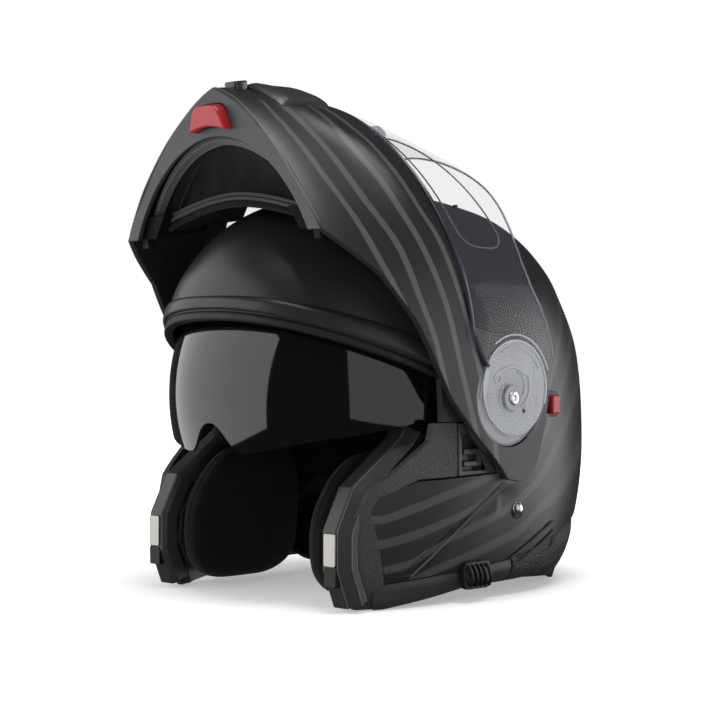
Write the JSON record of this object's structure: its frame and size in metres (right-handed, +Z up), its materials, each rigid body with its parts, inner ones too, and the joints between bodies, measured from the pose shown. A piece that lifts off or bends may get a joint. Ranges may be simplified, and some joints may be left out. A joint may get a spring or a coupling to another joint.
{
  "type": "modular motorcycle helmet",
  "caption": "Modular helmet with its chin bar flipped up, a clear visor on the chin bar, a dark drop-down sun visor, padded liner and chin strap.",
  "frame": {"origin": "under the middle of the part's box, on the surface that it stands on, with the chin bar raised", "axes": "+Z up, the face looks along -Y, +X is the wearer's left"},
  "size_m": [0.2526, 0.3028, 0.3265],
  "materials": {
    "outer_shell": "matt black paint",
    "rear_spoiler": "satin",
    "brow_seal": "matt",
    "hinge_screws": "satin",
    "impact_liner": "foam",
    "comfort_liner": "brushed cloth",
    "neck_roll": "cloth",
    "strap_rivets": "polished",
    "buckle_housing": "satin",
    "buckle_tongue": "satin",
    "cheek_frame": "grained",
    "striker_plate": "brushed",
    "side_plate": "satin",
    "lower_trim": "grained",
    "hinge_plate": "satin",
    "pivot_bolt": "satin",
    "sun_visor_base": "satin",
    "cheek_foam": "foam",
    "cheek_pad": "brushed cloth",
    "chin_strap": "webbing",
    "chin_bar_shell": "matt black paint",
    "chin_foam": "foam",
    "chin_panel": "satin",
    "chin_curtain": "mesh cloth",
    "vent_scoop": "satin",
    "visor_seal": "matt",
    "latch_housing": "grained",
    "latch_cable": "satin",
    "visor_ratchet": "satin",
    "visor_screw": "satin",
    "face_shield": "clear, hard coated",
    "shield_pins": "satin",
    "sun_visor": "dark smoke",
    "sun_visor_slider": "gloss",
    "release_button": "satin red",
    "latch_hook": "satin",
    "vent_shutter": "gloss",
    "park_lock": "satin red",
    "buckle_lever": "satin red"
  },
  "bodies": {
    "shell": {"outer_shell": "outer_shell", "rear_spoiler": "rear_spoiler", "brow_seal": "brow_seal", "hinge_screws": "hinge_screws", "impact_liner": "impact_liner", "comfort_liner": "comfort_liner", "neck_roll": "neck_roll", "strap_rivets": "strap_rivets", "buckle_housing": "buckle_housing", "buckle_tongue": "buckle_tongue", "cheek_frame_left": "cheek_frame", "cheek_frame_right": "cheek_frame", "striker_plate_left": "striker_plate", "striker_plate_right": "striker_plate", "side_plate_left": "side_plate", "side_plate_right": "side_plate", "lower_trim_left": "lower_trim", "lower_trim_right": "lower_trim", "hinge_plate_left": "hinge_plate", "hinge_plate_right": "hinge_plate", "pivot_bolt_left": "pivot_bolt", "pivot_bolt_right": "pivot_bolt", "sun_visor_base_left": "sun_visor_base", "sun_visor_base_right": "sun_visor_base", "cheek_foam_left": "cheek_foam", "cheek_foam_right": "cheek_foam", "cheek_pad_left": "cheek_pad", "cheek_pad_right": "cheek_pad", "chin_strap_left": "chin_strap", "chin_strap_right": "chin_strap"},
    "chin_bar": {"chin_bar_shell": "chin_bar_shell", "chin_foam": "chin_foam", "chin_panel": "chin_panel", "chin_curtain": "chin_curtain", "vent_scoop": "vent_scoop", "visor_seal": "visor_seal", "latch_housing_left": "latch_housing", "latch_housing_right": "latch_housing", "latch_cable_left": "latch_cable", "latch_cable_right": "latch_cable", "visor_ratchet_left": "visor_ratchet", "visor_ratchet_right": "visor_ratchet", "visor_screw_left": "visor_screw", "visor_screw_right": "visor_screw"},
    "face_shield": {"face_shield": "face_shield", "shield_pins": "shield_pins"},
    "sun_visor": {"sun_visor": "sun_visor"},
    "sun_visor_slider": {"sun_visor_slider": "sun_visor_slider"},
    "release_button": {"release_button": "release_button"},
    "latch_hook_left": {"latch_hook_left": "latch_hook"},
    "latch_hook_right": {"latch_hook_right": "latch_hook"},
    "vent_shutter": {"vent_shutter": "vent_shutter"},
    "park_lock": {"park_lock": "park_lock"},
    "buckle_lever": {"buckle_lever": "buckle_lever"}
  },
  "joints": [
    {"name": "chin_bar_flip", "type": "hinge", "parent": "shell", "child": "chin_bar", "pos_m": [0, -0.0065, 0.127], "axis": [1, 0, 0], "range_deg": [0, 80.5]},
    {"name": "visor_flip", "type": "hinge", "parent": "chin_bar", "child": "face_shield", "pos_m": [0, -0.0065, 0.127], "axis": [1, 0, 0], "range_deg": [-50, 0]},
    {"name": "sun_visor_drop", "type": "hinge", "parent": "shell", "child": "sun_visor", "pos_m": [0, -0.0275, 0.128], "axis": [1, 0, 0], "range_deg": [-46, 0]},
    {"name": "sun_visor_slide", "type": "slide", "parent": "shell", "child": "sun_visor_slider", "axis": [0, 1, 0], "range_m": [0, 0.014]},
    {"name": "release_press", "type": "slide", "parent": "chin_bar", "child": "release_button", "axis": [0, 0.9863, 0.165], "range_m": [0, 0.004], "stiffness_N_per_m": 400, "springref_m": -0.002},
    {"name": "latch_slide_left", "type": "slide", "parent": "chin_bar", "child": "latch_hook_left", "axis": [0, -0.165, 0.9863], "range_m": [0, 0.003]},
    {"name": "latch_slide_right", "type": "slide", "parent": "chin_bar", "child": "latch_hook_right", "axis": [0, -0.165, 0.9863], "range_m": [0, 0.003]},
    {"name": "vent_shutter_slide", "type": "slide", "parent": "chin_bar", "child": "vent_shutter", "axis": [0, -0.9863, -0.165], "range_m": [0, 0.005]},
    {"name": "park_lock_slide", "type": "slide", "parent": "shell", "child": "park_lock", "axis": [0, 0, -1], "range_m": [0, 0.004]},
    {"name": "buckle_lever_lift", "type": "hinge", "parent": "shell", "child": "buckle_lever", "pos_m": [0.0285, 0.0095, 0.0168], "axis": [0, 1, 0], "range_deg": [0, 60]}
  ],
  "couplings": [
    {"joint": "sun_visor_slide", "follows": "sun_visor_drop", "m_per_rad": -0.0174},
    {"joint": "latch_slide_left", "follows": "release_press", "ratio": 0.75},
    {"joint": "latch_slide_right", "follows": "release_press", "ratio": 0.75}
  ]
}
